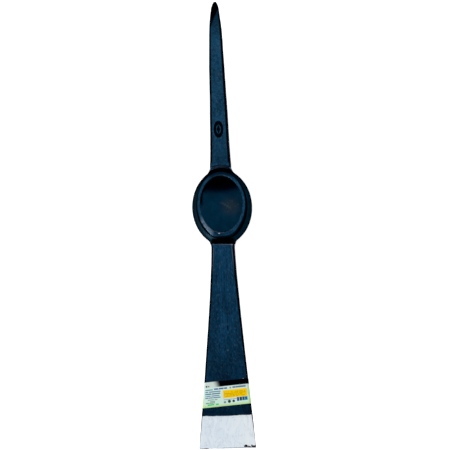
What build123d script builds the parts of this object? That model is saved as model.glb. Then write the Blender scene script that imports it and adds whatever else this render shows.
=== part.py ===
from build123d import *
import os
from math import radians, sqrt, tan

# Head of a pick-ended grub hoe: an oval handle eye with a pick arm on one side and a broad
# grub blade on the other.  Millimetres, +Z along the eye, +Y towards the pick tip.  The origin
# is on the eye's axis, at its wide mouth, which is the face the head rests on.

os.makedirs("parts", exist_ok=True)

# ---- handle eye ----
eye_height = 58
bore_narrow = (52, 71)  # (width, length) of the oval at the narrow mouth, z = eye_height
bore_wide = (57, 77)  # the same at the wide mouth, z = 0
rim_outline = (60.4, 81)  # outside of the collar at the narrow mouth
collar_root = (62, 82.6)  # outside of the collar where it leaves the boss
boss_outline = (76.6, 95.6)  # outside of the boss at its parting line
boss_top = 33
shoulder_radius = 7
foot_radius = 2

# ---- forged section shared by both arms ----
parting_height = 22
arm_top = 36
arm_bottom = 8
draft_angle = 7
arm_edge_radius = 2
arm_sweep_radius = 692  # the arms curve up towards the user's side
pick_width_at_root = 26.8
blade_width_at_root = 29.6

# ---- how far each piece reaches from the eye's axis ----
pick_weld = 54
pick_reach = 253
point_weld = 200
blade_weld = 52
blade_reach = 307
edge_weld = 268

# ---- valley between the collar and each arm's face, measured at the arm's face ----
valley_floor = 26
valley_draft = 12
pick_valley = (82, 101.6)  # oval, concentric with the eye
blade_valley = 47.4  # straight across the blade's root
lug_blend_radius = 7
lug_overrun = 10  # made longer than needed, then cut square at the weld

lug_half_height = (arm_top - arm_bottom) / 2
foot_inset = parting_height * tan(radians(draft_angle))
crown_inset = (boss_top - parting_height) * tan(radians(draft_angle))
boss_foot = [size - 2 * foot_inset for size in boss_outline]
boss_crown = [size - 2 * crown_inset for size in boss_outline]
valley_inset = (arm_top - valley_floor) * tan(radians(valley_draft))
pick_valley_root = [size - 2 * valley_inset for size in pick_valley]

# ---- arm stations: (reach, width, thickness, how far its face lies below the arm's curve) ----
point_station = (point_weld, 17.2, 17.5, 0)
pick_stations = [
    (pick_weld, pick_width_at_root, arm_top - arm_bottom, 0),
    (92, 23.9, 26, 0),
    (142, 20.8, 22, 0),
    point_station,
    (220, 15.7, 15.2, 0),
    (234, 13.2, 12, 0.3),
    (243, 10.2, 8.8, 1),
]
tip_stations = [
    pick_stations[-1],
    (248.5, 7.4, 6, 2.4),
    (pick_reach, 2.8, 2.4, 5),
]
blade_stations = [
    (blade_weld, blade_width_at_root, arm_top - arm_bottom, 0),
    (98, 34.6, 22, 0),
    (159, 44.2, 14.5, 0),
    (220, 54.6, 9.5, 0),
    (edge_weld, 63.4, 6.5, 0),
]
edge_width = 70.4
edge_underside_drop = 5.4  # the edge's underside, below the line of the blade's face
edge_land = 1.0  # thickness left at the cutting edge

# ---- cleft welds: a tongue on the steel piece, closed inside the arm ----
point_tongue_length = 22
point_tongue_width = 8
point_tongue_root = 8  # thickness where it leaves the point
edge_tongue_length = 16
edge_tongue_width = 50
edge_tongue_root = 2.6

# ---- paper label wrapped round the blade ----
label_middle = 236.3
label_height = 32.1
label_tilt = 4.2  # degrees off square
label_thickness = 0.3


def sweep_rise(reach, weld):
    """How far the arm's face has risen at this reach: an arc that starts level at the weld."""
    return arm_sweep_radius - sqrt(arm_sweep_radius**2 - (reach - weld) ** 2)


def face_height(side, reach):
    """Height of the arm's upper face; side is +1 for the pick and -1 for the blade."""
    return arm_top + sweep_rise(reach, pick_weld if side > 0 else blade_weld)


def bar_section(side, reach, width, top, bottom):
    """Drafted section across an arm: widest at half height, its other corners rounded."""
    half = width / 2
    middle = (top + bottom) / 2
    flat = half - (top - bottom) / 2 * tan(radians(draft_angle))
    radius = min(arm_edge_radius, 0.28 * (top - bottom))
    with BuildSketch(Plane.XZ.offset(-side * reach)) as section:
        with BuildLine():
            Polyline(
                (half, middle),
                (flat, top),
                (-flat, top),
                (-half, middle),
                (-flat, bottom),
                (flat, bottom),
                close=True,
            )
        make_face()
        fillet([v for v in section.vertices() if abs(v.Y - middle) > radius / 2], radius)
    return section.sketch


def arm_sections(side, stations, grow=0):
    """The sections to loft through, one for each station."""
    sections = []
    for reach, width, thickness, drop in stations:
        top = face_height(side, reach) - drop
        sections.append(bar_section(side, reach, width + 2 * grow, top + grow, top - thickness - grow))
    return sections


def tongue_profile(side, station, length, root):
    """Side view of the wedge that points back into an arm from its weld plane."""
    reach, _, thickness, drop = station
    middle = face_height(side, reach) - drop - thickness / 2
    fall = face_height(side, reach) - face_height(side, reach - length)
    with BuildSketch(Plane.YZ) as profile:
        with BuildLine():
            Polyline(
                (side * reach, middle - root / 2),
                (side * reach, middle + root / 2),
                (side * (reach - length), middle - fall),
                close=True,
            )
        make_face()
    return profile.sketch


def oval(z, size):
    with BuildSketch(Plane.XY.offset(z)) as outline:
        Ellipse(size[0] / 2, size[1] / 2)
    return outline.sketch


def lug_plan(side, weld, width):
    """Plan of a lug: as wide as its arm, and flared by an arc where it runs into the boss."""
    half = width / 2
    boss_half_width, boss_half_length = boss_outline[0] / 2, boss_outline[1] / 2
    arc_x = half + lug_blend_radius
    reach_across = boss_half_width + lug_blend_radius
    reach_along = boss_half_length + lug_blend_radius
    arc_y = reach_along * sqrt(1 - (arc_x / reach_across) ** 2)
    arc_centre = Vector(arc_x, arc_y)
    to_boss = Vector(-arc_x / boss_half_width**2, -arc_y / boss_half_length**2).normalized()
    halfway = (to_boss + Vector(-1, 0)).normalized()
    end = weld + lug_overrun
    turn = Rotation(0, 0, 90 - 90 * side)
    with BuildSketch(Plane.XY.offset(parting_height)) as plan:
        with BuildLine() as outline:
            Polyline((0, end), (half, end), (half, arc_y))
            ThreePointArc(
                (half, arc_y),
                arc_centre + halfway * lug_blend_radius,
                arc_centre + to_boss * lug_blend_radius,
            )
            Polyline(outline.line.vertices().sort_by(Axis.Y)[0].center(), (half, 0), (0, 0))
            mirror(about=Plane.YZ)
        make_face()
    return turn * plan.sketch


def lug(side, weld, width):
    """Lug of full arm thickness, drafted both ways from the parting line."""
    with BuildPart() as bar:
        extrude(lug_plan(side, weld, width), amount=lug_half_height, taper=draft_angle)
        mirror(about=Plane.XY.offset(parting_height))
    return bar.part


# ---- boss of the handle eye, drafted both ways from its parting line ----
with BuildPart() as boss:
    loft([oval(0, boss_foot), oval(parting_height, boss_outline), oval(boss_top, boss_crown)], ruled=True)
    fillet(boss.edges().group_by(Axis.Z)[-1], shoulder_radius)
    fillet(boss.edges().group_by(Axis.Z)[0], foot_radius)

# ---- handle eye: a lug for each arm, then the boss, the collar and the tapered bore ----
pick_lug = lug(1, pick_weld, pick_width_at_root)
blade_lug = lug(-1, blade_weld, blade_width_at_root)
with BuildPart() as eye_socket:
    add(pick_lug)
    extrude(oval(valley_floor, pick_valley_root), amount=eye_height, taper=-valley_draft, mode=Mode.SUBTRACT)
    split(bisect_by=Plane.XZ.offset(-pick_weld))
    add(blade_lug)
    with BuildSketch(Plane.XY.offset(valley_floor)) as blade_valley_plan:
        with Locations((0, valley_inset - blade_valley)):
            Rectangle(2 * boss_outline[0], blade_valley, align=(Align.CENTER, Align.MIN))
    extrude(blade_valley_plan.sketch, amount=eye_height, taper=-valley_draft, mode=Mode.SUBTRACT)
    split(bisect_by=Plane.ZX.offset(-blade_weld))
    add(boss.part)
    loft([oval(parting_height, collar_root), oval(eye_height, rim_outline)], ruled=True)
    loft([oval(0, bore_wide), oval(eye_height, bore_narrow)], ruled=True, mode=Mode.SUBTRACT)
eye_socket.part.label = "eye_socket"
export_step(eye_socket.part, "parts/eye_socket.step")

# ---- the whole pick, from its lug to the tip, and the tongue of the hard point inside it ----
with BuildPart() as pick_bar:
    loft(arm_sections(1, pick_stations))
    loft(arm_sections(1, tip_stations))
    extrude(oval(valley_floor, pick_valley_root), amount=eye_height, taper=-valley_draft, mode=Mode.SUBTRACT)

with BuildPart() as point_tongue:
    extrude(
        tongue_profile(1, point_station, point_tongue_length, point_tongue_root),
        amount=point_tongue_width / 2,
        both=True,
    )

# ---- pick arm: cleft at its end to take the point ----
with BuildPart() as pick_arm:
    add(pick_bar.part)
    split(bisect_by=Plane.XZ.offset(-point_weld))
    add(point_tongue.part, mode=Mode.SUBTRACT)
pick_arm.part.label = "pick_arm"
export_step(pick_arm.part, "parts/pick_arm.step")

# ---- pick point: hard steel, with the tongue that fills the cleft ----
with BuildPart() as pick_point:
    add(pick_bar.part)
    split(bisect_by=Plane.XZ.offset(-point_weld), keep=Keep.BOTTOM)
    add(point_tongue.part)
pick_point.part.label = "pick_point"
export_step(pick_point.part, "parts/pick_point.step")

# ---- grub blade: the bar flattens and widens towards the edge, cleft to take the edge steel ----
with BuildPart() as blade_bar:
    loft(arm_sections(-1, blade_stations))

with BuildPart() as edge_tongue:
    extrude(
        tongue_profile(-1, blade_stations[-1], edge_tongue_length, edge_tongue_root),
        amount=edge_tongue_width / 2,
        both=True,
    )

with BuildPart() as grub_blade:
    add(blade_bar.part)
    add(edge_tongue.part, mode=Mode.SUBTRACT)
grub_blade.part.label = "grub_blade"
export_step(grub_blade.part, "parts/grub_blade.step")

# ---- cutting edge: hard steel, ground on the upper face down to a thin land ----
with BuildPart() as cutting_edge:
    land_top = face_height(-1, blade_reach) - edge_underside_drop + edge_land
    loft(
        [
            arm_sections(-1, blade_stations)[-1],
            bar_section(-1, blade_reach, edge_width, land_top, land_top - edge_land),
        ]
    )
    add(edge_tongue.part)
cutting_edge.part.label = "cutting_edge"
export_step(cutting_edge.part, "parts/cutting_edge.step")

# ---- label: a thin sleeve of paper round the blade, cut to a slanting band ----
with BuildPart() as label_band:
    loft(arm_sections(-1, blade_stations, grow=label_thickness))
    with BuildSketch(Plane.XY.rotated((0, 0, label_tilt))) as band:
        with Locations((0, -label_middle)):
            Rectangle(2 * edge_width, label_height)
    extrude(band.sketch, amount=2 * eye_height, mode=Mode.INTERSECT)
    add(blade_bar.part, mode=Mode.SUBTRACT)
label_band.part.label = "label_band"
export_step(label_band.part, "parts/label_band.step")
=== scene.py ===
"""Looks of the pick-ended grub hoe head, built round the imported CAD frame. Metres, row frame:
+Z along the handle eye towards the user's side, +Y towards the pick's tip."""
import math

import bmesh
import bpy
import numpy as np
from mathutils import Matrix, Vector, kdtree


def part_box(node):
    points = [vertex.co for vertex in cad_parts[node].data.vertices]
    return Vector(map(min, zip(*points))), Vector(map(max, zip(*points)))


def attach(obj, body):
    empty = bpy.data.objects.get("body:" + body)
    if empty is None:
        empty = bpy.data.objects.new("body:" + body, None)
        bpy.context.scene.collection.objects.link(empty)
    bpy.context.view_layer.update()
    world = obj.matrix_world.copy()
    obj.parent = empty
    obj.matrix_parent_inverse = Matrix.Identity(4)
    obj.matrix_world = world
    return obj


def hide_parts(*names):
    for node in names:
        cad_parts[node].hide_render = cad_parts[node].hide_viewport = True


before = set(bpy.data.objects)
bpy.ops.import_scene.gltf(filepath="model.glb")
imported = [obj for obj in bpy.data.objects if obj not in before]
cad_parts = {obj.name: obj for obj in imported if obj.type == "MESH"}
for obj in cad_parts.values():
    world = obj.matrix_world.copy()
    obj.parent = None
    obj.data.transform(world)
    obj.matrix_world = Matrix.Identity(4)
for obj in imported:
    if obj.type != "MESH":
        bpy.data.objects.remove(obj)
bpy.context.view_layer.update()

MM = 0.001

# ---- places read from the frame ----
eye_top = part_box("eye_socket")[1].z
blade_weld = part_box("eye_socket")[0].y
pick_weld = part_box("pick_arm")[0].y
point_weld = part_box("pick_arm")[1].y
edge_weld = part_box("grub_blade")[0].y
blade_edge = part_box("cutting_edge")[0].y
pick_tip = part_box("pick_point")[1].y
edge_half_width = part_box("cutting_edge")[1].x

# ---- forging: voxel sizes and the unevenness left by the hammer and the dies ----
FORGING_VOXEL = 0.7 * MM
FORGING_SMOOTHING = 6  # rounds
EDGE_VOXEL = 0.4 * MM
EDGE_SMOOTHING = 2
SMOOTHING_STEP = 0.5  # how far each round moves a point towards its neighbours
CURVATURE_SMOOTHING = 4
FULL_CORNER = 0.45  # curvature of a fully worn corner, in 1/mm
FULL_HOLLOW = 0.35
HAMMER_WAVES = ((26 * MM, 0.16 * MM), (9 * MM, 0.06 * MM), (3 * MM, 0.022 * MM))  # size, depth
HAMMER_SEED = 11
NOISE_SHIFT = 1  # moves all points to the positive side of the noise lattice

# ---- dents from handling ----
DING_SEED = 5
DING_COUNT = 90
DING_ACROSS = (-0.03, 0.03)
DING_HEIGHT = (0.02, 0.08)
DING_RADIUS = (0.5, 1.6)  # millimetres
DING_DEPTH = (0.04, 0.15)  # millimetres
DING_REACH = 2.5  # radii, beyond which a dent is too shallow to matter

# ---- where the forging is leaner or fuller than the drawing ----
BOSS_HALF = (38.3 * MM, 47.8 * MM)  # half axes of the boss
BOSS_LEAN_LEFT = 0.95 * MM  # how far each side of the boss is in from the drawing
BOSS_LEAN_RIGHT = 0.3 * MM
ROOT_FULLNESS = 0.055  # share of the width
PICK_FULLNESS = 0.06
PICK_FULL_AT = 178 * MM
PICK_ASIDE = -0.25 * MM

# ---- hand grinding; a flat is a point on its plane, and the plane's normal ----
COLLAR_HALF = (30.2 * MM, 40.5 * MM)  # half axes of the collar at its rim
COLLAR_FOOT = 0.038  # the collar stands above this height
COLLAR_REACH = 0.046  # and within this distance of the eye's axis, along the head
COLLAR_SWELLS = ((-110, 13, 0.045), (-66, 15, 0.032))  # degrees round from +X, width, share
COLLAR_SHIFT = (0.6 * MM, -0.7 * MM)  # of the rim from the eye's axis
COLLAR_FLAT = ((0, -41.9 * MM, 0), (0.03, -1, 0))
RIM_FLAT = ((-20.5 * MM, -27.5 * MM, eye_top - 0.1 * MM), (-0.17, -0.2, 0.96))
TIP_FLAT = ((-5.5 * MM, pick_tip - 0.023, 58.3 * MM), (-0.33, 0.03, 0.95))
TIP_FLAT_REACH = 0.045
TIP_DRAWN = 0.018  # the last stretch of the pick, drawn out by hand
TIP_LONGER = 1.3 * MM
TIP_WIDER = 0.2  # share of the width
TIP_ASIDE = 0.55 * MM

# ---- the line where the tip's facet leaves the face; the facet is painted black as shade ----
FACET_UPPER_END = (4.6 * MM, 245.4 * MM)
FACET_LOWER_END = (-4.4 * MM, 225.5 * MM)
FACET_SOFTNESS = 0.4 * MM
FACET_REACH = 0.035  # the facet lies within this distance of the tip

# ---- cutting edge: slanted, and slightly wavy ----
EDGE_SLANT = 0.7 * MM  # longer at the right-hand corner and shorter at the left
EDGE_LONGER = 0.1 * MM
EDGE_WAVE_SIZE = 3.5 * MM
EDGE_WAVE = 0.1 * MM
EDGE_SEED = 41

# ---- generic stamp on the pick's face: an oval ring with a lozenge in it ----
STAMP_CENTRE = (-0.6 * MM, 96.5 * MM)
STAMP_HALF = (4.5 * MM, 8.2 * MM)
STAMP_LINE = 2.6 * MM
STAMP_DEPTH = 0.65 * MM
STAMP_SOFTNESS = 0.25 * MM
STAMP_REFINEMENTS = 2
LOZENGE_HALF = (2.2 * MM, 5.0 * MM)
FACING_UP = 0.5  # least Z of a normal on the upper face

# ---- label ----
LABEL_TILT = math.radians(4.2)
LABEL_MIDDLE = -0.2363  # along the label's own short axis
LABEL_HEIGHT = 32.1 * MM
LABEL_LIFT = 0.1 * MM
LABEL_THICKNESS = 0.16 * MM
LABEL_SMOOTHING = 6
BUBBLE_SIZE = 7 * MM
BUBBLE_HEIGHT = 0.07 * MM
BUBBLE_SEED = 31


# =====================================================================================
# Mesh work
# =====================================================================================
def rise(values, start, end):
    """0 before start, 1 past end and straight between them; end may be the lower of the two."""
    return np.clip((values - start) / (end - start), 0, 1)


def bell(values, middle, width):
    return np.exp(-(((values - middle) / width) ** 2))


def lattice_noise(points, size, seed):
    """Smooth noise between -1 and 1 with features of this size, the same at every run."""
    cells = 40
    table = np.random.default_rng(seed).uniform(-1, 1, (cells, cells, cells))
    scaled = points / size
    base = np.floor(scaled).astype(int)
    part = scaled - base
    part = part * part * (3 - 2 * part)
    total = np.zeros(len(points))
    for corner in np.ndindex(2, 2, 2):
        weight = np.prod(np.where(corner, part, 1 - part), axis=1)
        cell = (base + corner) % cells
        total += weight * table[cell[:, 0], cell[:, 1], cell[:, 2]]
    return total


def read_vertices(mesh, what):
    """Vertex positions ("co") or normals ("normal") as an array."""
    values = np.zeros(len(mesh.vertices) * 3, np.float32)
    mesh.vertices.foreach_get(what, values)
    return values.reshape(-1, 3).astype(float)


def write_vertices(mesh, points):
    mesh.vertices.foreach_set("co", points.astype(np.float32).ravel())
    mesh.update()


def new_object(name, mesh):
    piece = bpy.data.objects.new(name, mesh)
    bpy.context.scene.collection.objects.link(piece)
    return piece


def remeshed(nodes, voxel, smoothing):
    """The CAD nodes as one closed skin of small even faces, its creases slightly rounded."""
    joined = bmesh.new()
    for node in nodes:
        joined.from_mesh(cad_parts[node].data)
    source = bpy.data.meshes.new("joined")
    joined.to_mesh(source)
    joined.free()
    holder = new_object("joined", source)
    remesh = holder.modifiers.new("remesh", "REMESH")
    remesh.mode = "VOXEL"
    remesh.voxel_size = voxel
    smooth = holder.modifiers.new("smooth", "SMOOTH")
    smooth.factor = SMOOTHING_STEP
    smooth.iterations = smoothing
    skin = bpy.data.meshes.new_from_object(holder.evaluated_get(bpy.context.evaluated_depsgraph_get()))
    bpy.data.objects.remove(holder)
    return skin


def neighbour_mean(mesh, values):
    """Each vertex's mean of its neighbours' values."""
    edges = np.zeros(len(mesh.edges) * 2, np.int32)
    mesh.edges.foreach_get("vertices", edges)
    first, second = edges[0::2], edges[1::2]
    total = np.zeros_like(values)
    np.add.at(total, first, values[second])
    np.add.at(total, second, values[first])
    count = np.bincount(edges, minlength=len(values)).astype(float)
    return total / (count[:, None] if values.ndim == 2 else count)


def curvature(mesh, spacing, rounds):
    """Mean curvature per vertex in 1/mm, positive on outward corners."""
    points = read_vertices(mesh, "co")
    normals = read_vertices(mesh, "normal")
    inward = np.einsum("ij,ij->i", points - neighbour_mean(mesh, points), normals)
    value = 2 * inward / spacing**2 * MM
    for _ in range(rounds):
        value = 0.5 * value + 0.5 * neighbour_mean(mesh, value)
    return value


def store(mesh, name, values):
    layer = mesh.attributes.new(name, "FLOAT", "POINT")
    layer.data.foreach_set("value", values.astype(np.float32))


def hammered(points, normals):
    """Points moved along their normals by the unevenness of a forging."""
    offset = np.zeros(len(points))
    for number, (size, depth) in enumerate(HAMMER_WAVES):
        offset += depth * lattice_noise(points + NOISE_SHIFT, size, number + HAMMER_SEED)
    return points + normals * offset[:, None]


def dinged(points, normals):
    """Small dents and nicks from handling, in places drawn from a fixed seed."""
    draw = np.random.default_rng(DING_SEED)
    tree = kdtree.KDTree(len(points))
    for index, point in enumerate(points):
        tree.insert(point, index)
    tree.balance()
    moved = points.copy()
    for _ in range(DING_COUNT):
        along = draw.uniform(blade_edge, pick_tip)
        across = draw.uniform(*DING_ACROSS)
        height = draw.uniform(*DING_HEIGHT)
        radius = draw.uniform(*DING_RADIUS) * MM
        depth = draw.uniform(*DING_DEPTH) * MM
        centre, _, _ = tree.find((across, along, height))
        near = [index for _, index, _ in tree.find_range(centre, DING_REACH * radius)]
        distance = np.linalg.norm(points[near] - np.array(centre), axis=1)
        moved[near] -= normals[near] * (depth * bell(distance, 0, radius))[:, None]
    return moved


def ground_flat(points, inside, through, normal):
    """Grinds what stands beyond a plane down to it, among the points where inside is true."""
    normal = np.array(normal, float)
    normal /= np.linalg.norm(normal)
    proud = np.clip((points - np.array(through)) @ normal, 0, None)
    return points - np.outer(proud * inside, normal)


def unevenly_forged(points):
    """Small departures from the drawing: a leaner boss, fuller roots and a fuller middle of the pick."""
    x, y, z = points.T.copy()
    low = rise(z, 37 * MM, 35 * MM)
    outwards = np.hypot(x / BOSS_HALF[0], y / BOSS_HALF[1])
    wall = rise(outwards, 0.85, 0.95) * rise(np.abs(y), 46 * MM, 38 * MM) * low
    lean = BOSS_LEAN_LEFT * rise(x, 0, -10 * MM) - BOSS_LEAN_RIGHT * rise(x, 0, 10 * MM)
    root = bell(np.abs(y), 45.5 * MM, 2.5 * MM) * rise(np.abs(x), 9 * MM, 13 * MM) * low
    middle = bell(y, PICK_FULL_AT, 30 * MM)
    points[:, 0] += wall * lean + ROOT_FULLNESS * x * root + middle * (PICK_FULLNESS * x + PICK_ASIDE)
    return points


def fettled(points):
    """What hand grinding left: an uneven collar with two flats, and a drawn-out tip with a facet."""
    collar = (points[:, 2] > COLLAR_FOOT) & (np.abs(points[:, 1]) < COLLAR_REACH)
    share = rise(points[:, 2], COLLAR_FOOT, eye_top) * collar
    across, along = points[:, 0] / COLLAR_HALF[0], points[:, 1] / COLLAR_HALF[1]
    turn = np.degrees(np.arctan2(along, across))
    wall = rise(np.hypot(across, along), 0.9, 0.98) * np.clip(share * 4, 0, 1)
    swell = sum(size * bell(turn, middle, width) for middle, width, size in COLLAR_SWELLS)
    points[:, :2] *= 1 + (swell * wall)[:, None]
    points[:, :2] += np.outer(share, COLLAR_SHIFT)
    points = ground_flat(points, collar, *COLLAR_FLAT)
    points = ground_flat(points, collar & (points[:, 0] < 0), *RIM_FLAT)
    tip = points[:, 1] > pick_tip - TIP_FLAT_REACH
    beyond = np.clip(points[:, 1] - pick_tip + TIP_DRAWN, 0, None)
    beyond /= beyond.max()
    points[:, 1] += beyond * (pick_tip + TIP_LONGER - points[:, 1].max())
    points[:, 0] *= 1 + TIP_WIDER * beyond**2
    points[:, 0] += TIP_ASIDE * beyond
    return ground_flat(points, tip, *TIP_FLAT)


def beyond_facet_line(points):
    """Distance past the line where the tip's facet leaves the face, positive on the facet."""
    along = np.array(FACET_UPPER_END) - np.array(FACET_LOWER_END)
    along /= np.linalg.norm(along)
    from_end = points[:, :2] - np.array(FACET_LOWER_END)
    return from_end[:, 1] * along[0] - from_end[:, 0] * along[1]


def cut(mesh, name, planes):
    """The part of a skin between upright planes, closed with flat caps. A plane is (y, side to drop)."""
    work = bmesh.new()
    work.from_mesh(mesh)
    for y, drop in planes:
        found = bmesh.ops.bisect_plane(
            work,
            geom=work.verts[:] + work.edges[:] + work.faces[:],
            plane_co=(0, y, 0),
            plane_no=(0, drop, 0),
            clear_outer=True,
        )
        rim = [item for item in found["geom_cut"] if isinstance(item, bmesh.types.BMEdge)]
        for edge in rim:
            edge.smooth = False
        bmesh.ops.edgeloop_fill(work, edges=rim)
    bmesh.ops.recalc_face_normals(work, faces=work.faces[:])
    for face in work.faces:
        face.smooth = True
    result = bpy.data.meshes.new(name)
    work.to_mesh(result)
    work.free()
    return new_object(name, result)


def stamp_shape(across, along):
    """How deep the generic stamp is at a point, 0 to 1."""
    radius = np.hypot(across / STAMP_HALF[0], along / STAMP_HALF[1])
    to_ring = np.abs(radius - 1) * STAMP_HALF[0]
    lozenge = np.abs(across) / LOZENGE_HALF[0] + np.abs(along) / LOZENGE_HALF[1]
    ring = np.clip((STAMP_LINE / 2 - to_ring) / STAMP_SOFTNESS + 0.5, 0, 1)
    middle = np.clip((1 - lozenge) * 8 + 0.5, 0, 1)
    return np.maximum(ring, middle)


def stamped(piece):
    """Presses the generic stamp into the pick's face, on finer faces."""
    work = bmesh.new()
    work.from_mesh(piece.data)
    reach_x, reach_y = STAMP_HALF[0] + STAMP_LINE, STAMP_HALF[1] + STAMP_LINE
    for _ in range(STAMP_REFINEMENTS):
        fine = [
            face
            for face in work.faces
            if face.normal.z > FACING_UP
            and abs(face.calc_center_median().x - STAMP_CENTRE[0]) < reach_x
            and abs(face.calc_center_median().y - STAMP_CENTRE[1]) < reach_y
        ]
        edges = list({edge for face in fine for edge in face.edges})
        bmesh.ops.subdivide_edges(work, edges=edges, cuts=1, use_grid_fill=True)
    work.to_mesh(piece.data)
    work.free()
    points = read_vertices(piece.data, "co")
    upper = read_vertices(piece.data, "normal")[:, 2] > FACING_UP
    depth = stamp_shape(points[:, 0] - STAMP_CENTRE[0], points[:, 1] - STAMP_CENTRE[1]) * upper
    points[:, 2] -= depth * STAMP_DEPTH
    write_vertices(piece.data, points)
    store(piece.data, "stamp", depth)


def wrapped_label(blade):
    """A sleeve of paper that follows the blade's skin, lifted a little off it."""
    axis = Vector((-math.sin(LABEL_TILT), math.cos(LABEL_TILT), 0))
    work = bmesh.new()
    work.from_mesh(blade.data)
    for side in (1, -1):
        bmesh.ops.bisect_plane(
            work,
            geom=work.verts[:] + work.edges[:] + work.faces[:],
            plane_co=axis * (LABEL_MIDDLE + side * LABEL_HEIGHT / 2),
            plane_no=axis * side,
            clear_outer=True,
        )
    for _ in range(LABEL_SMOOTHING):
        bmesh.ops.smooth_vert(
            work,
            verts=[v for v in work.verts if not v.is_boundary],
            factor=SMOOTHING_STEP,
            use_axis_x=True,
            use_axis_y=True,
            use_axis_z=True,
        )
    sleeve = bpy.data.meshes.new("label_band")
    work.to_mesh(sleeve)
    work.free()
    points = read_vertices(sleeve, "co")
    normals = read_vertices(sleeve, "normal")
    bubbles = 0.5 + 0.5 * lattice_noise(points * (1, 0.6, 1) + NOISE_SHIFT, BUBBLE_SIZE, BUBBLE_SEED)
    points += normals * (LABEL_LIFT + BUBBLE_HEIGHT * bubbles**2)[:, None]
    write_vertices(sleeve, points)
    piece = new_object("label_band_visual", sleeve)
    shell = piece.modifiers.new("paper", "SOLIDIFY")
    shell.thickness = LABEL_THICKNESS
    shell.offset = 1
    return piece


# ---- the forging: every steel node, as one skin, then cut apart at the welds ----
steel_nodes = ["eye_socket", "pick_arm", "pick_point", "grub_blade", "cutting_edge"]
skin = remeshed(steel_nodes, FORGING_VOXEL, FORGING_SMOOTHING)
co = fettled(unevenly_forged(read_vertices(skin, "co")))
write_vertices(skin, co)
# the tip's facet is painted black in the lacquer: painted shade on a facet that turns away from the light
on_facet = np.clip(beyond_facet_line(co) / FACET_SOFTNESS + 0.5, 0, 1)
store(skin, "facet", on_facet * (co[:, 1] > pick_tip - FACET_REACH))
normal = read_vertices(skin, "normal")
co = dinged(hammered(co, normal), normal)
co[:, 2] = np.clip(co[:, 2], 0, None)
write_vertices(skin, co)
bend = curvature(skin, FORGING_VOXEL, CURVATURE_SMOOTHING)
store(skin, "corner", np.clip(bend / FULL_CORNER, 0, 1))
# painted shade: how hollow each point is, used to darken the hollows
store(skin, "hollow", np.clip(-bend / FULL_HOLLOW, 0, 1))

eye = cut(skin, "eye_socket_visual", ((blade_weld, -1), (pick_weld, 1)))
arm = cut(skin, "pick_arm_visual", ((pick_weld, -1), (point_weld, 1)))
point = cut(skin, "pick_point_visual", ((point_weld, -1),))
blade = cut(skin, "grub_blade_visual", ((edge_weld, -1), (blade_weld, 1)))
stamped(arm)
label = wrapped_label(blade)

# ---- the cutting edge, on finer faces so that its thin land stays crisp ----
edge_skin = remeshed(["cutting_edge", "grub_blade"], EDGE_VOXEL, EDGE_SMOOTHING)
co = read_vertices(edge_skin, "co")
normal = read_vertices(edge_skin, "normal")
co = hammered(co, normal)
near_edge = rise(co[:, 1], edge_weld, blade_edge)
co[:, 1] += near_edge**2 * (EDGE_SLANT * -co[:, 0] / edge_half_width - EDGE_LONGER)
wave = lattice_noise(co * (1, 0, 0) + NOISE_SHIFT, EDGE_WAVE_SIZE, EDGE_SEED)
co[:, 1] += near_edge**8 * EDGE_WAVE * wave
write_vertices(edge_skin, co)
bend = curvature(edge_skin, EDGE_VOXEL, CURVATURE_SMOOTHING)
store(edge_skin, "corner", np.clip(bend / FULL_CORNER, 0, 1))
edge = cut(edge_skin, "cutting_edge_visual", ((edge_weld, 1),))


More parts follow.
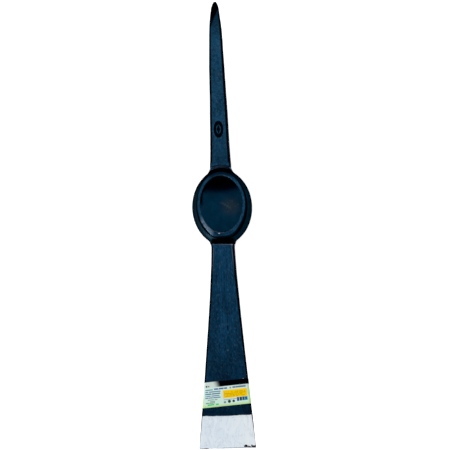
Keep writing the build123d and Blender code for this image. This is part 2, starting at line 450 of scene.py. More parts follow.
# =====================================================================================
# Materials
# =====================================================================================
class Shader:
    """A material's node tree, with short calls for the nodes that it uses."""

    def __init__(self, name):
        self.material = bpy.data.materials.new(name)
        self.material.use_nodes = True
        self.tree = self.material.node_tree
        self.tree.nodes.clear()
        self.surface = self.node("ShaderNodeBsdfPrincipled")
        output = self.node("ShaderNodeOutputMaterial")
        self.tree.links.new(self.surface.outputs[0], output.inputs["Surface"])
        self.place = self.node("ShaderNodeTexCoord").outputs["Object"]
        self.facing = self.split(self.node("ShaderNodeNewGeometry").outputs["Normal"])

    def node(self, kind, **settings):
        made = self.tree.nodes.new(kind)
        for key, value in settings.items():
            setattr(made, key, value)
        return made

    def set(self, socket, value):
        """Links an output, or sets a plain value."""
        if isinstance(value, bpy.types.NodeSocket):
            self.tree.links.new(value, socket)
        elif isinstance(value, tuple) and len(value) == 3 and socket.type == "RGBA":
            socket.default_value = (*value, 1)
        else:
            socket.default_value = value

    def math(self, operation, first, second=0.0, third=0.0, clamp=False):
        made = self.node("ShaderNodeMath", operation=operation, use_clamp=clamp)
        for socket, value in zip(made.inputs, (first, second, third)):
            self.set(socket, value)
        return made.outputs[0]

    def times(self, first, *others):
        """The product of all these values."""
        for other in others:
            first = self.math("MULTIPLY", first, other)
        return first

    def oval(self, x, y, half, centre=(0.0, 0.0)):
        """How far out a point lies: 0 at the oval's centre and 1 on the oval."""
        across = self.math("DIVIDE", self.math("SUBTRACT", x, centre[0]), half[0])
        along = self.math("DIVIDE", self.math("SUBTRACT", y, centre[1]), half[1])
        return self.math("SQRT", self.math("ADD", self.times(across, across), self.times(along, along)))

    def split(self, vector):
        made = self.node("ShaderNodeSeparateXYZ")
        self.set(made.inputs[0], vector)
        return made.outputs

    def scaled(self, scale, turn=0.0, shift=(0, 0, 0)):
        """Object coordinates, turned about Z and scaled."""
        made = self.node("ShaderNodeMapping", vector_type="POINT")
        self.set(made.inputs["Vector"], self.place)
        made.inputs["Location"].default_value = shift
        made.inputs["Rotation"].default_value = (0, 0, turn)
        made.inputs["Scale"].default_value = scale
        return made.outputs[0]

    def noise(self, scale, detail=2.0, roughness=0.5, turn=0.0, distortion=0.0, shift=(0, 0, 0)):
        """Noise between 0 and 1; scale is features per metre along X, Y and Z."""
        made = self.node("ShaderNodeTexNoise")
        self.set(made.inputs["Vector"], self.scaled(scale, turn, shift))
        made.inputs["Scale"].default_value = 1
        made.inputs["Detail"].default_value = detail
        made.inputs["Roughness"].default_value = roughness
        made.inputs["Distortion"].default_value = distortion
        return made.outputs[0]

    def spread(self, value, low, high, to_low=0.0, to_high=1.0):
        """Smoothly maps low..high to to_low..to_high."""
        made = self.node("ShaderNodeMapRange", interpolation_type="SMOOTHSTEP")
        for socket, item in zip(made.inputs, (value, low, high, to_low, to_high)):
            self.set(socket, item)
        return made.outputs[0]

    def mix(self, share, first, second):
        made = self.node("ShaderNodeMix", data_type="RGBA")
        self.set(made.inputs[0], share)
        self.set(made.inputs[6], first)
        self.set(made.inputs[7], second)
        return made.outputs[2]

    def attribute(self, name):
        return self.node("ShaderNodeAttribute", attribute_name=name).outputs["Fac"]

    def relief(self, height, depth, strength=1.0, under=None):
        made = self.node("ShaderNodeBump")
        made.inputs["Strength"].default_value = strength
        made.inputs["Distance"].default_value = depth
        self.set(made.inputs["Height"], height)
        if under is not None:
            self.set(made.inputs["Normal"], under)
        return made.outputs[0]

    def finish(self, sockets):
        for key, value in sockets.items():
            self.set(self.surface.inputs[key], value)
        return self.material


# ---- colours of the steel pieces, with the light and shade painted on them, and where the marks on them are ----
LACQUER_FACE = (0.006, 0.045, 0.096)
LACQUER_RIM = (0.005, 0.048, 0.11)
LACQUER_BLADE = (0.003, 0.035, 0.083)
# painted shade: darker copies of the lacquer for the shoulder (lighter at the left) and for the sides and
# underside
SHOULDER_SHADE_LEFT = (0.008, 0.025, 0.038)
SHOULDER_SHADE_RIGHT = (0.0013, 0.019, 0.034)
SIDE_SHADE = (0.0008, 0.0018, 0.0035)
UNDER_SHADE = (0.0035, 0.017, 0.036)
LACQUER_WORN = (0.1, 0.17, 0.24)
# painted highlight: the lit wall of the pick's valley
VALLEY_WALL_LIGHT = (0.24, 0.5, 0.92)
# painted highlight on the hammered stretch of the rim's lower left
RIM_HIGHLIGHT = (0.115, 0.175, 0.24)
# painted shade on the outer part of the rim's two ends
RIM_END_SHADE = (0.0006, 0.009, 0.026)
# painted highlight along the step at the blade's root
STEP_HIGHLIGHT = (0.26, 0.29, 0.37)
# painted highlight lines beside the blade's root
NECK_HIGHLIGHT = (0.1, 0.14, 0.22)
# painted shade towards the cutting edge
BLADE_LOW_SHADE = (0.0, 0.001, 0.007)
# painted shade on the pick's face at its root and towards its tip
PICK_ENDS_SHADE = (0.0008, 0.01, 0.026)
BARE_STEEL = (0.62, 0.66, 0.7)
BLACK = (0.0003, 0.0005, 0.001)
NECK_HIGHLIGHT_IN = 11.2 * MM  # how far from the middle the painted highlight line runs, beside the blade's root
NECK_FLARE = 0.062  # how fast the two lines spread along the blade
VALLEY_HALF = (41 * MM, 50.8 * MM)  # half axes of the pick's valley
CROOK_HALF = (31 * MM, 41.3 * MM)  # half axes of the collar's foot
BORE_HALF = (26 * MM, 35.5 * MM)
LUG_HALF_WIDTH = 14 * MM
STEP_REACH = 47.9 * MM  # from the eye's axis to the step at the blade's root
STEP_SLANT = 0.07
BLADE_MARKS = (  # millimetres: across, along, half width, half length, colour
    (3.4, -154.5, 0.7, 3.4, (0.001, 0.002, 0.003)),
    (2.8, -182.7, 0.45, 1.0, (0.07, 0.12, 0.17)),
    (20.8, -219.0, 0.6, 0.9, (0.5, 0.55, 0.6)),
)
RUST_SPOTS = (  # millimetres: across, from the edge, half width, half height
    (21.8, 2.7, 2.2, 1.7),
    (23.4, 1.7, 1.4, 1.1),
    (27.2, 1.5, 2.6, 1.1),
    (31.0, 1.8, 3.4, 1.7),
    (33.6, 1.0, 1.6, 1.0),
    (-31.0, 0.7, 2.0, 0.7),
    (-26.6, 0.7, 2.6, 0.6),
    (-33.5, 1.0, 0.6, 0.5),
)


def shade(colour, factor):
    return tuple(value * factor for value in colour)


def slab(s, value, low, high, soft):
    """1 while the value is between low and high, with soft ends."""
    middle, half = (low + high) / 2, (high - low) / 2
    out = s.math("SUBTRACT", s.math("ABSOLUTE", s.math("SUBTRACT", value, middle)), half)
    return s.spread(out, -soft, soft, 1.0, 0.0)


def arm_masks(s, place):
    """Faces painted lit and drafted sides painted dark as shade. The pick's face is painted dimmer as shade
    at its root and towards its tip, and the tip's facet is painted black as shade.
    """
    across = s.math("MAXIMUM", s.times(s.facing["X"], 1.5), s.times(s.facing["X"], -1.2))
    face = s.spread(across, 0.12, 0.36, 1.0, 0.0)
    at_tip = s.spread(place["Y"], 202 * MM, 238 * MM, 0.0, 0.6)
    at_root = s.spread(place["Y"], 54 * MM, 84 * MM, 0.35, 0.0)
    return {
        "face": face,
        "shoulder": 0.0,
        "black": s.attribute("facet"),
        "pale": 0.0,
        "extra": ((s.times(s.math("MAXIMUM", at_tip, at_root), face), PICK_ENDS_SHADE),),
    }


def valley_masks(s, x, y, z, lug):
    """The two valleys beside the collar: what is painted black as shade, the pick's wall painted lit, and a
    painted highlight along the blade's step.
    """
    near_pick = s.spread(y, 30 * MM, 34 * MM)
    blade_side = s.spread(y, -41 * MM, -39.5 * MM, 1.0, 0.0)
    ends = s.math("ADD", s.spread(y, 40 * MM, 41.5 * MM), blade_side, clamp=True)
    radius = s.oval(x, y, VALLEY_HALF)
    wall = s.times(
        slab(s, radius, 0.963, 1.0, 0.006),
        near_pick,
        slab(s, z, 27.5 * MM, 36.5 * MM, 1.2 * MM),
        slab(s, x, -13 * MM, 13 * MM, 1.2 * MM),
    )
    deep = s.times(s.spread(z, 34 * MM, 35.2 * MM, 1.0, 0.0), s.spread(z, 12 * MM, 16 * MM), lug)
    floors = s.times(deep, ends, s.math("SUBTRACT", 1.0, wall))
    lip = s.times(slab(s, radius, 1.004, 1.018, 0.006), near_pick, lug, 0.75)
    from_step = s.math("ADD", s.math("ADD", s.times(x, STEP_SLANT), y), STEP_REACH)
    above_step = s.times(
        s.spread(from_step, -0.15 * MM, 0.25 * MM),
        s.spread(z, 37 * MM, 38 * MM, 1.0, 0.0),
        lug,
        blade_side,
    )
    # painted shade: the valley floors, the lip by the pick and the strip above the blade's step are black
    black = s.math("MAXIMUM", s.math("MAXIMUM", floors, lip), above_step)
    step = s.times(
        slab(s, from_step, -1.15 * MM, -0.1 * MM, 0.2 * MM),
        slab(s, z, 33 * MM, 38 * MM, 0.3 * MM),
        slab(s, x, -12.5 * MM, 12.7 * MM, 0.5 * MM),
        s.spread(s.math("ABSOLUTE", x), 9.5 * MM, 11.0 * MM, 0.4, 1.0),
        s.spread(s.noise((300, 300, 300), 3), 0.35, 0.6, 0.6, 1.0),
    )
    return black, wall, step


def crook_shadow_mask(s, x, y, z):
    """Painted shadow on the shoulder, in the crook of the collar and towards the pick."""
    from_collar = s.oval(x, y, CROOK_HALF)
    below_rim = s.spread(z, 40 * MM, 44 * MM, 1.0, 0.0)
    past_foot = s.math("SUBTRACT", from_collar, s.spread(x, -10 * MM, 20 * MM, 1.0, 1.035))
    crook = s.times(s.spread(past_foot, -0.005, 0.03, 1.0, 0.0), below_rim, s.spread(z, 20 * MM, 24 * MM))
    to_pick = s.times(
        s.spread(y, 14 * MM, 36 * MM),
        s.spread(x, -5 * MM, 25 * MM, 0.85, 0.4),
        below_rim,
        s.spread(s.math("ABSOLUTE", y), 44 * MM, 48 * MM, 1.0, 0.0),
    )
    return s.times(s.math("MAXIMUM", crook, to_pick), s.spread(from_collar, 0.95, 0.99))


def rim_masks(s, x, y, z):
    """Along the rim: ends painted dim as shade, a painted highlight on the hammered stretch at its lower
    left, a worn inner edge and a chip.
    """
    rim = s.times(s.spread(z, 54 * MM, 56.5 * MM), s.spread(s.facing["Z"], 0.4, 0.8))
    around = s.math("ARCTAN2", s.math("DIVIDE", y, COLLAR_HALF[1]), s.math("DIVIDE", x, COLLAR_HALF[0]))
    from_bore = s.oval(x, y, BORE_HALF, COLLAR_SHIFT)
    dim = s.times(
        s.spread(from_bore, 1.02, 1.05),
        s.math("MAXIMUM", slab(s, around, 1.0, 2.1, 0.3), slab(s, around, -2.0, -1.2, 0.25)),
        rim,
        s.spread(y, -30 * MM, 30 * MM, 0.5, 0.9),
    )
    stretch = s.times(
        slab(s, around, -2.62, -1.98, 0.13),
        rim,
        s.spread(s.noise((380, 380, 380), 4, 0.65), 0.38, 0.56, 0.35, 1.0),
    )
    worn = s.times(
        slab(s, from_bore, 0.99, 1.026, 0.012),
        s.spread(z, 55 * MM, 56.5 * MM),
        s.spread(y, -20 * MM, 12 * MM, 1.0, 0.25),
        s.spread(s.noise((260, 260, 260), 4, 0.65, shift=(1, 2, 0)), 0.42, 0.58, 0.25, 1.0),
        0.95,
    )
    chip = s.times(
        slab(s, x, -4.1 * MM, -2.3 * MM, 0.5 * MM),
        slab(s, y, -38.0 * MM, -37.1 * MM, 0.4 * MM),
        rim,
        s.spread(s.noise((500, 500, 500), 3), 0.35, 0.5),
    )
    return dim, stretch, worn, chip


def eye_masks(s, place):
    """Painted light on the eye: the rim is lit, the shoulder dim, and the collar's wall and the two valleys
    are painted black as shade.
    """
    x, y, z = place
    lug = slab(s, x, -LUG_HALF_WIDTH, LUG_HALF_WIDTH, 1.6 * MM)
    valleys, wall, step = valley_masks(s, x, y, z, lug)
    dim, stretch, worn, chip = rim_masks(s, x, y, z)
    on_lug = s.times(s.spread(s.math("ABSOLUTE", y), 45 * MM, 46.5 * MM), lug)
    level = s.math("MAXIMUM", s.spread(z, 44 * MM, 46 * MM), s.spread(z, 8 * MM, 12 * MM, 1.0, 0.0))
    flat = s.spread(s.math("ABSOLUTE", s.facing["Z"]), 0.9, 0.985)
    return {
        "face": s.times(flat, s.math("MAXIMUM", level, on_lug), s.math("SUBTRACT", 1.0, valleys)),
        "shoulder": s.spread(s.facing["Z"], 0.0, 0.2),
        "black": s.math("MAXIMUM", valleys, crook_shadow_mask(s, x, y, z)),
        "pale": worn,
        "extra": (
            (wall, VALLEY_WALL_LIGHT),
            (dim, RIM_END_SHADE),
            (stretch, RIM_HIGHLIGHT),
            (chip, BARE_STEEL),
            (step, STEP_HIGHLIGHT),
        ),
    }


def blade_masks(s, place):
    """As on the arms, with a nick and two chips; painted highlight lines beside the root, and painted shade
    dimming it towards the edge.
    """
    x, y, _ = place
    masks = arm_masks(s, place)
    upper = s.spread(s.facing["Z"], 0.3, 0.6)
    ragged = s.spread(s.noise((500, 500, 500), 3), 0.3, 0.7, -0.4, 0.4)
    marks = []
    for at_x, at_y, half_x, half_y, tint in BLADE_MARKS:
        away = s.oval(x, y, (half_x * MM, half_y * MM), (at_x * MM, at_y * MM))
        spot = s.spread(s.math("ADD", away, ragged), 0.7, 1.1, 0.85, 0.0)
        marks.append((s.times(spot, upper), tint))
    # painted shade: darker towards the cutting edge, where the curved face turns from the light
    low = s.spread(y, -270 * MM, -150 * MM, 0.58, 0.0)
    widening = s.times(s.math("ADD", y, 57 * MM), -NECK_FLARE)
    beside = s.math("SUBTRACT", s.math("ABSOLUTE", x), widening)
    # painted highlight: two thin light lines beside the blade's root
    neck = s.times(
        slab(s, beside, NECK_HIGHLIGHT_IN, NECK_HIGHLIGHT_IN + 0.8 * MM, 0.4 * MM),
        upper,
        s.spread(y, -88 * MM, -60 * MM, 0.0, 0.75),
    )
    masks["black"] = 0.0
    masks["extra"] = ((low, BLADE_LOW_SHADE), (neck, NECK_HIGHLIGHT), *marks)
    return masks


def bare_share(s, place):
    """1 on the ground steel below the lacquer's slightly wavy lower edge, and 0 on the lacquer."""
    x, y, _ = place
    wave = s.noise((95, 0, 0), 3, 0.6)
    lift = s.math("ADD", s.times(wave, 2.6 * MM), s.times(s.math("ABSOLUTE", x), 0.018))
    line = s.math("ADD", lift, edge_weld + 0.9 * MM)
    below = s.math("SUBTRACT", line, y)
    side = s.spread(s.math("ABSOLUTE", s.facing["X"]), 0.3, 0.6, 1.0, 0.0)
    upper = s.spread(s.facing["Z"], -0.2, 0.2)
    return s.times(s.spread(below, -0.1 * MM, 0.3 * MM), side, upper)


def lacquered(name, masks_of, face=LACQUER_FACE, streaks=0.5, haze=0.14, wear=0.25, bare=False):
    """Dark blue-green lacquer over forged steel, with light and shade painted in: brighter on the lit
    faces, with painted shade on the shoulders, the sides and the underside.

    masks_of gives the shares of the surface that are a lit face, a dim shoulder, black or pale, and
    extra, pairs of a share and a colour that are laid over the rest. streaks is how much the face's
    grain runs lengthwise, haze and wear are how worn its middle and its corners are, and bare is
    true where ground steel shows below the lacquer."""
    s = Shader(name)
    place = s.split(s.place)
    masks = masks_of(s, place)
    # the face: mottled and specked, with lengthwise lines where it was ground
    mottle = s.noise((330, 210, 330), 4, 0.62)
    speck = s.noise((1500, 1100, 1500), 2, 0.6)
    broad = s.noise((50, 22, 50), 2)
    fine = s.noise((1300, 30, 1300), 3, 0.62)
    coarse = s.noise((430, 12, 430), 3, 0.6)
    lines = s.math("ADD", s.times(fine, 0.55), s.times(coarse, 0.45))
    grain = s.math("ADD", s.times(mottle, 0.5), s.times(speck, 0.5))
    tone = s.math("ADD", s.times(grain, 1 - streaks), s.times(lines, streaks))
    tone = s.math("ADD", s.times(tone, 0.8), s.times(broad, 0.2))
    colour = s.mix(s.spread(tone, 0.4, 0.6), shade(face, 0.5), shade(face, 1.55))
    worn_tone = s.spread(s.noise((240, 130, 240), 5, 0.7, shift=(2, 1, 0)), 0.54, 0.72)
    colour = s.mix(s.times(worn_tone, haze), colour, LACQUER_WORN)
    scratch = s.spread(s.noise((2600, 45, 2600), 1, turn=0.1), 0.7, 0.76)
    colour = s.mix(s.times(scratch, 0.35 * streaks + 0.1), colour, LACQUER_WORN)
    dash_shape = (760, 760 - 640 * streaks, 760)
    dash = s.spread(s.noise(dash_shape, 2, 0.6, shift=(5, 2, 0)), 0.54, 0.68)
    colour = s.mix(s.times(dash, 0.28 - 0.12 * streaks), colour, LACQUER_WORN)
    dull = s.spread(s.noise(dash_shape, 2, 0.6, shift=(1, 7, 3)), 0.54, 0.68)
    colour = s.mix(s.times(dull, 0.45), colour, shade(face, 0.3))
    # painted shade: the shoulder, lighter at the left where the key light falls, and the sides and
    # underside
    across = s.spread(place["X"], -8 * MM, 12 * MM)
    shoulder = s.mix(across, SHOULDER_SHADE_LEFT, SHOULDER_SHADE_RIGHT)
    shoulder = s.mix(s.spread(grain, 0.4, 0.6, 0.3, 0.0), shoulder, BLACK)
    side = s.mix(s.spread(s.facing["Z"], 0.14, 0.3, 1.0, 0.0), SIDE_SHADE, UNDER_SHADE)
    other = s.mix(masks["shoulder"], side, shoulder)
    colour = s.mix(masks["face"], other, colour)
    # wear on the corners, painted shade in the hollows, and chips down to the steel
    corner = s.attribute("corner")
    broken = s.spread(s.noise((420, 300, 420), 4, 0.65), 0.4, 0.6)
    exposed = s.math("ADD", s.times(masks["face"], 0.8), 0.2)
    worn = s.times(s.spread(corner, 0.55, 1.0), broken, exposed)
    colour = s.mix(s.times(worn, wear), colour, LACQUER_WORN)
    colour = s.mix(masks["pale"], colour, LACQUER_WORN)
    colour = s.mix(masks["black"], colour, BLACK)
    colour = s.mix(s.times(s.attribute("hollow"), 0.85), colour, BLACK)
    colour = s.mix(s.times(s.attribute("stamp"), 0.97), colour, BLACK)
    chip = s.spread(s.noise((300, 300, 300), 5, 0.7, shift=(3, 5, 7)), 0.71, 0.74)
    chip = s.times(chip, s.spread(corner, 0.3, 0.6), masks["face"])
    colour = s.mix(s.times(chip, 0.7), colour, BARE_STEEL)
    for share, tint in masks["extra"]:
        colour = s.mix(share, colour, tint)
    shine = s.mix(masks["face"], (1, 1, 1), (0.75, 0.75, 0.75))
    rough = s.spread(tone, 0.35, 0.65, 0.52, 0.38)
    dents = s.relief(s.noise((380, 380, 380), 4, 0.6), 0.25 * MM, 0.5)
    relief = s.relief(lines, 0.12 * MM, 0.2 + 0.5 * streaks, dents)
    if bare:
        share = bare_share(s, place)
        colour = s.mix(share, colour, steel_colour(s, place)[0])
        shine = s.mix(share, shine, (0.5, 0.5, 0.5))
    return s.finish({
        "Base Color": colour,
        "Metallic": shine,
        "Roughness": rough,
        "Specular IOR Level": 0.1,
        "Specular Tint": (0.0, 0.0, 0.0),
        "Normal": relief,
    })


def steel_colour(s, place):
    """Ground steel with faint lengthwise, flame-like marks; also gives the marks themselves."""
    flame = s.noise((120, 42, 120), 3, 0.55, turn=0.04, distortion=1.4)
    brushed = s.noise((900, 30, 400), 3, 0.6, turn=0.02)
    tone = s.math("ADD", s.times(brushed, 0.5), s.times(flame, 0.5))
    steel = s.mix(s.spread(tone, 0.3, 0.7), (0.76, 0.87, 0.98), (0.88, 0.95, 1.0))
    crease = s.spread(s.math("ABSOLUTE", s.math("SUBTRACT", flame, 0.47)), 0.0, 0.032, 1.0, 0.0)
    steel = s.mix(s.spread(place["X"], 0, 25 * MM, 0.0, 0.5), steel, (0.93, 0.98, 1.0))
    return s.mix(s.times(crease, 0.3), steel, (0.46, 0.54, 0.66)), tone


def ground_steel(name):
    """Bare ground steel: dark lacquer left on its sides, painted black as shade where they turn away, a
    land painted dark as shade, and rust spots at both ends of the edge.
    """
    s = Shader(name)
    place = s.split(s.place)
    x, y, _ = place
    bare = bare_share(s, place)
    steel, tone = steel_colour(s, place)
    from_edge = s.math("SUBTRACT", y, blade_edge)
    blotch = s.noise((420, 420, 420), 3, 0.6, shift=(1.7, 0, 0))
    ragged = s.spread(blotch, 0.3, 0.7, -0.45, 0.45)
    rust = 0.0
    for at_x, at_y, half_x, half_y in RUST_SPOTS:
        away = s.oval(x, from_edge, (half_x * MM, half_y * MM), (at_x * MM, at_y * MM))
        spot = s.spread(s.math("ADD", away, ragged), 0.85, 1.1, 1.0, 0.0)
        rust = s.math("MAXIMUM", spot, rust)
    steel = s.mix(rust, steel, (0.012, 0.009, 0.01))
    # painted shade: the land at the very edge, facing along the head, is darkened
    land = s.spread(s.facing["Y"], -0.75, -0.45, 1.0, 0.0)
    steel = s.mix(s.times(land, 0.8), steel, (0.1, 0.1, 0.12))
    burr = s.times(slab(s, from_edge, 0.5 * MM, 1.2 * MM, 0.3 * MM), s.spread(x, -9 * MM, -4 * MM))
    steel = s.mix(s.times(burr, 0.75), steel, (0.16, 0.15, 0.19))
    tiny = s.spread(s.noise((800, 800, 800), 2, 0.5, shift=(4, 1, 0)), 0.73, 0.76)
    steel = s.mix(s.times(tiny, 0.7), steel, (0.15, 0.14, 0.16))
    grain = s.noise((420, 260, 420), 4, 0.6)
    # painted shade: the lacquer on the sides goes black where they turn away from the light
    face = s.spread(s.math("ABSOLUTE", s.facing["X"]), 0.14, 0.42, 1.0, 0.0)
    dark = s.mix(s.spread(grain, 0.35, 0.65), shade(LACQUER_BLADE, 0.6), shade(LACQUER_BLADE, 1.3))
    dark = s.mix(face, SIDE_SHADE, dark)
    colour = s.mix(bare, dark, steel)
    wear = s.relief(tone, 0.07 * MM, 0.5)
    return s.finish({
        "Base Color": colour,
        "Metallic": s.spread(bare, 0, 1, 1.0, 0.5),
        "Roughness": 0.48,
        "Specular IOR Level": 0.1,
        "Specular Tint": (0.0, 0.0, 0.0),
        "Normal": s.relief(bare, 0.05 * MM, 0.4, wear),
    })


INK = (0.1, 0.2, 0.38)
GREEN_INK = (0.2, 0.33, 0.28)
TEXT_WEIGHT = 1.3  # how much taller the bars are than the print they stand for
LABEL_LINES = (  # millimetres: left, right, level, half height; then how broken the bar is, colour
    (-15.0, 1.2, 6.5, 0.75, 0.40, (0.07, 0.15, 0.36)),
    (7.8, 24.2, 6.7, 0.8, 0.42, (0.12, 0.2, 0.28)),
    (-25.8, -16.5, 6.0, 0.45, 0.44, INK),
    (-26.0, -7.2, 3.4, 0.5, 0.44, INK),
    (-26.3, -7.8, 0.8, 0.6, 0.42, INK),
    (-26.5, -9.0, -1.8, 0.45, 0.46, INK),
    (-26.7, -7.8, -4.1, 0.5, 0.44, INK),
    (-23.8, -12.0, -6.7, 0.4, 0.45, GREEN_INK),
    (-21.4, -15.0, -8.8, 0.4, 0.45, GREEN_INK),
    (-26.7, -15.4, -10.6, 0.5, 0.44, (0.16, 0.3, 0.2)),
    (-4.3, 11.7, -8.2, 0.35, 0.46, (0.25, 0.35, 0.38)),
    (-4.4, -1.6, -11.3, 0.9, 0.4, (0.12, 0.25, 0.3)),
)
LABEL_BLOCKS = (  # millimetres: left, right, low; colour
    (12.0, 14.8, -11.4, (0.02, 0.08, 0.3)),
    (15.4, 18.3, -11.2, (0.008, 0.05, 0.08)),
    (18.7, 21.5, -11.1, (0.008, 0.1, 0.2)),
    (21.8, 25.1, -11.1, (0.0, 0.18, 0.4)),
)


def label_print(name):
    """Generic label: plain bars, lines and blocks where a printed label has its words."""
    s = Shader(name)
    turned = s.split(s.scaled((1 / MM, 1 / MM, 1 / MM), -LABEL_TILT))
    u = s.math("SUBTRACT", turned["X"], LABEL_MIDDLE / MM * math.sin(LABEL_TILT))
    v = s.math("SUBTRACT", turned["Y"], LABEL_MIDDLE / MM)

    def block(left, right, low, high, soft=0.15):
        """1 inside a rectangle in millimetres on the label."""
        return s.times(slab(s, u, left, right, soft), slab(s, v, low, high, soft))

    def row(left, right, level, half, seed, density):
        """A broken bar, where a printed label has a line of words."""
        words = s.noise((650, 120, 0), 2, 0.5, turn=-LABEL_TILT, shift=(seed, seed, 0))
        gaps = s.spread(words, density, density + 0.08)
        return s.times(block(left, right, level - half, level + half, 0.25), gaps)

    # paper, its green margin and the header
    paper = s.mix(s.noise((60, 60, 60), 3), (0.6, 0.82, 0.73), (0.72, 0.9, 0.82))
    ends = s.math("MAXIMUM", s.spread(u, 25.6, 27.4), s.spread(u, -27.5, -30))
    colour = s.mix(s.math("MAXIMUM", s.spread(v, -12.2, -15.2), ends), paper, (0.52, 0.78, 0.36))
    fade = s.spread(s.math("ADD", u, s.times(v, 0.25)), -13.0, -3.5)
    heading = s.mix(fade, (0.66, 0.76, 0.72), (0.0, 0.0005, 0.002))
    colour = s.mix(s.spread(v, 8.6, 9.6), colour, heading)
    sheen = s.spread(s.math("ABSOLUTE", s.math("SUBTRACT", v, 7.6)), 0.4, 1.6, 1.0, 0.0)
    colour = s.mix(s.times(sheen, s.spread(u, -2, 20)), colour, (0.62, 0.72, 0.74))
    two_marks = s.math("MAXIMUM", block(-24.8, -22.9, 9.6, 11.5), block(-21.9, -20.5, 9.8, 11.2, 0.4))
    colour = s.mix(two_marks, colour, (0.001, 0.004, 0.006))
    # bars, the yellow panel, discs and blocks
    for number, (left, right, level, half, density, tint) in enumerate(LABEL_LINES):
        share = s.times(row(left, right, level, half * TEXT_WEIGHT, 0.7 + number, density - 0.1), 0.97)
        colour = s.mix(share, colour, tint)
    colour = s.mix(s.times(block(4.2, 6.4, 5.4, 7.6, 0.5), 0.75), colour, (0.1, 0.18, 0.25))
    colour = s.mix(block(-4.5, 25.4, -6.2, 3.9), colour, (1.0, 0.62, 0.0))
    for number in range(4):
        share = s.times(row(-3.2, 23.4, 1.0 - 1.75 * number, 0.5, 9 + number, 0.42), 0.6)
        colour = s.mix(share, colour, (0.33, 0.19, 0.01))
    for at_u, radius in ((2.5, 1.95), (7.8, 1.6)):
        away = s.oval(u, v, (1, 1), (at_u, -10.8))
        colour = s.mix(s.spread(away, radius - 0.3, radius + 0.3, 0.97, 0.0), colour, (0.008, 0.03, 0.04))
    for left, right, low, tint in LABEL_BLOCKS:
        colour = s.mix(block(left, right, low, -6.5, 0.3), colour, tint)
    blob = s.times(block(-24.6, -10.8, -13.7, -12.0, 0.6), s.spread(s.noise((300, 300, 0), 3), 0.3, 0.44))
    colour = s.mix(blob, colour, (0.0, 0.62, 0.16))
    # the underside is plain paper
    plain = s.mix(s.noise((40, 40, 40), 3), (0.5, 0.64, 0.58), (0.6, 0.7, 0.64))
    colour = s.mix(s.spread(s.facing["Z"], -0.1, 0.1), plain, colour)
    grime = s.spread(s.noise((130, 90, 130), 5, 0.7), 0.52, 0.8, 0.0, 0.16)
    colour = s.mix(s.times(grime, s.spread(v, 6.0, 8.6, 1.0, 0.0)), colour, (0.25, 0.3, 0.28))
    creases = s.relief(s.noise((150, 60, 150), 4, 0.6), 0.4 * MM, 0.35)
    return s.finish({"Base Color": colour, "Roughness": 0.6, "Specular IOR Level": 0.0, "Normal": creases})


def dress(piece, material, node):
    piece.data.materials.clear()
    piece.data.materials.append(material)
    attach(piece, "root")
    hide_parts(node)


arms_lacquer = lacquered("lacquer_arms", arm_masks, streaks=0.2, haze=0.2)
eye_lacquer = lacquered("lacquer_eye", eye_masks, LACQUER_RIM, streaks=0.05, haze=0.06, wear=0.15)
dress(eye, eye_lacquer, "eye_socket")
dress(arm, arms_lacquer, "pick_arm")
dress(point, arms_lacquer, "pick_point")
blade_lacquer = lacquered("lacquer_blade", blade_masks, LACQUER_BLADE, streaks=0.75, haze=0.08, bare=True)
dress(blade, blade_lacquer, "grub_blade")
dress(edge, ground_steel("ground_edge"), "cutting_edge")
dress(label, label_print("label_paper"), "label_band")


# =====================================================================================
# Floor, light and camera
# =====================================================================================
def flat_stage(name, outline, height, material):
    """A flat piece of the studio, not of the object, through these points."""
    work = bmesh.new()
    work.faces.new([work.verts.new((x, y, height)) for x, y in outline])
    mesh = bpy.data.meshes.new(name)
    work.to_mesh(mesh)
    work.free()
    mesh.materials.append(material)
    new_object(name, mesh)


def floor_material():
    s = Shader("floor_pale")
    tone = s.mix(s.noise((3, 3, 3), 2), (0.8, 0.8, 0.8), (0.82, 0.82, 0.82))
    return s.finish({
        "Base Color": tone,
        "Roughness": 0.9,
        "Specular IOR Level": 0.1,
        "Emission Color": (1, 1, 1),
        "Emission Strength": FLOOR_GLOW,
    })


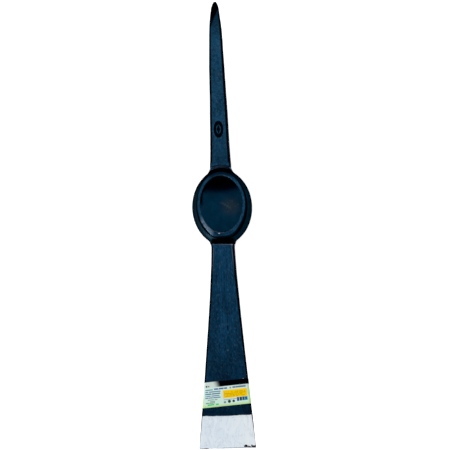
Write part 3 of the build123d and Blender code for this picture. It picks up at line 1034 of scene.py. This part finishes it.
def painted_shade_in_eye():
    """Painted shade under the eye: a dark, dusty sheet seen through the eye, blue-green, with a rust-brown
    smear.
    """
    s = Shader("painted_shade_in_eye")
    x, y, _ = s.split(s.place)
    dust = s.noise((700, 700, 0), 3, 0.7)
    broad = s.noise((90, 90, 0), 3, 0.6)
    colour = s.mix(s.spread(broad, 0.3, 0.7), (0.002, 0.08, 0.19), (0.005, 0.12, 0.26))
    colour = s.mix(s.times(s.spread(dust, 0.55, 0.7), 0.3), colour, (0.05, 0.2, 0.34))
    away = s.oval(x, y, (1, 1), SMEAR_CENTRE)
    smear = s.times(s.spread(away, 2 * MM, 17 * MM, 1.0, 0.0), s.spread(broad, 0.3, 0.7, 0.6, 1.0), 0.8)
    colour = s.mix(smear, colour, (0.085, 0.14, 0.2))
    specks = s.spread(s.noise((420, 420, 0), 2, 0.5, shift=(0.3, 0.8, 0)), 0.62, 0.7)
    near = s.spread(away, 3 * MM, 13 * MM, 1.0, 0.0)
    colour = s.mix(s.times(specks, near, 0.75), colour, (0.34, 0.36, 0.39))
    from_x, from_y = s.math("SUBTRACT", x, STREAK_CENTRE[0]), s.math("SUBTRACT", y, STREAK_CENTRE[1])
    streak = s.times(
        slab(s, s.math("ADD", s.times(from_x, 0.85), s.times(from_y, -0.53)), -7.5 * MM, 7 * MM, 2.5 * MM),
        slab(s, s.math("ADD", s.times(from_x, 0.53), s.times(from_y, 0.85)), -1.2 * MM, 1.2 * MM, 1.5 * MM),
        s.spread(s.noise((330, 330, 0), 3, 0.6), 0.42, 0.6, 0.15, 1.0),
        0.55,
    )
    colour = s.mix(streak, colour, (0.27, 0.36, 0.4))
    # the shadow of the eye's wall: a bowed end towards the pick, and a crescent on the left
    bow = s.math("DIVIDE", s.math("ADD", x, 3 * MM), 21 * MM)
    high = s.math("SUBTRACT", y, s.times(bow, bow, 3 * MM))
    colour = s.mix(s.spread(high, 17 * MM, 27 * MM), colour, (0.0008, 0.006, 0.03))
    colour = s.mix(s.spread(high, 25 * MM, 33 * MM), colour, HOLE_SHADOW)
    crescent = s.times(s.spread(x, -26.5 * MM, -23 * MM, 1.0, 0.0), s.spread(y, 2 * MM, 12 * MM))
    colour = s.mix(crescent, colour, HOLE_SHADOW)
    return s.finish({"Base Color": colour, "Roughness": 0.9, "Specular IOR Level": 0.0})


def soft_sky(strength, stops):
    """A sky of greys set by height: each stop is (sine of the elevation, brightness)."""
    world = bpy.data.worlds.new("studio")
    bpy.context.scene.world = world
    world.use_nodes = True
    nodes, links = world.node_tree.nodes, world.node_tree.links
    background = nodes["Background"]
    place = nodes.new("ShaderNodeTexCoord")
    split = nodes.new("ShaderNodeSeparateXYZ")
    ramp = nodes.new("ShaderNodeValToRGB")
    links.new(place.outputs["Generated"], split.inputs[0])
    links.new(split.outputs["Z"], ramp.inputs[0])
    links.new(ramp.outputs[0], background.inputs["Color"])
    first, second = ramp.color_ramp.elements
    ramp.color_ramp.elements.remove(second)
    first.position, grey = stops[0]
    first.color = (grey, grey, grey, 1)
    for position, grey in stops[1:]:
        ramp.color_ramp.elements.new(position).color = (grey, grey, grey, 1)
    background.inputs["Strength"].default_value = strength


def softbox(name, place, target, size, watts):
    light = bpy.data.lights.new(name, "AREA")
    light.shape = "RECTANGLE"
    light.size, light.size_y = size
    light.energy = watts
    lamp = bpy.data.objects.new(name, light)
    bpy.context.scene.collection.objects.link(lamp)
    lamp.location = place
    lamp.rotation_euler = (Vector(target) - Vector(place)).to_track_quat("-Z", "Y").to_euler()


FLOOR_GLOW = 0.75
FLOOR_HALF = 14.0
MOUTH_HALF = (30 * MM, 40 * MM)  # a little more than the wide mouth, so its border is in the wall
MOUTH_SIDES = 64
MOUTH_LIFT = 0.3 * MM
SMEAR_CENTRE = (10.5 * MM, 4 * MM)
STREAK_CENTRE = (4.2 * MM, 5.4 * MM)
HOLE_SHADOW = (0.0002, 0.0003, 0.0008)
SKY = ((0.0, 0.35), (0.5, 0.35), (0.82, 0.8), (1.0, 0.8))  # sine of the elevation, brightness
LIT_POINT = (0, 0, 0.04)
CAMERA_DISTANCE = 5.0
CAMERA_AIM = Vector((4.06 * MM, -25.6 * MM, 45 * MM))
CAMERA_TILT_SIDE = math.radians(2.04)
CAMERA_TILT_BACK = math.radians(7.8)
CAMERA_ROLL = math.radians(1.81)
FRAME_WIDTH = 0.5597  # metres across the picture at the aim


def place_camera():
    data = bpy.data.cameras.new("camera")
    data.sensor_width = 36
    data.lens = data.sensor_width * CAMERA_DISTANCE / FRAME_WIDTH
    data.clip_end = 50
    camera = bpy.data.objects.new("camera", data)
    bpy.context.scene.collection.objects.link(camera)
    back = Vector((
        math.sin(CAMERA_TILT_SIDE) * math.cos(CAMERA_TILT_BACK),
        -math.sin(CAMERA_TILT_BACK),
        math.cos(CAMERA_TILT_SIDE) * math.cos(CAMERA_TILT_BACK),
    ))
    right = Vector((0, 1, 0)).cross(back).normalized()
    up = back.cross(right)
    turned_right = right * math.cos(CAMERA_ROLL) - up * math.sin(CAMERA_ROLL)
    turn = Matrix((turned_right, back.cross(turned_right), back)).transposed()
    camera.matrix_world = Matrix.Translation(CAMERA_AIM + back * CAMERA_DISTANCE) @ turn.to_4x4()
    bpy.context.scene.camera = camera


corners = [(x * FLOOR_HALF, y * FLOOR_HALF) for x, y in ((-1, -1), (1, -1), (1, 1), (-1, 1))]
flat_stage("floor", corners, 0.0, floor_material())
turns = np.linspace(0, 2 * math.pi, MOUTH_SIDES + 1)[:-1]
mouth = [(math.cos(turn) * MOUTH_HALF[0], math.sin(turn) * MOUTH_HALF[1]) for turn in turns]
# a dark sheet of painted shade on the floor, inside the eye's mouth
flat_stage("painted_shade_in_eye", mouth, MOUTH_LIFT, painted_shade_in_eye())
soft_sky(1.0, SKY)
softbox("key", (-1.1, -1.34, 1.0), LIT_POINT, size=(1.0, 1.0), watts=24)
softbox("fill", (1.4, 0.5, 1.6), LIT_POINT, size=(1.2, 1.2), watts=4)
place_camera()
bpy.context.scene.view_settings.view_transform = "Standard"
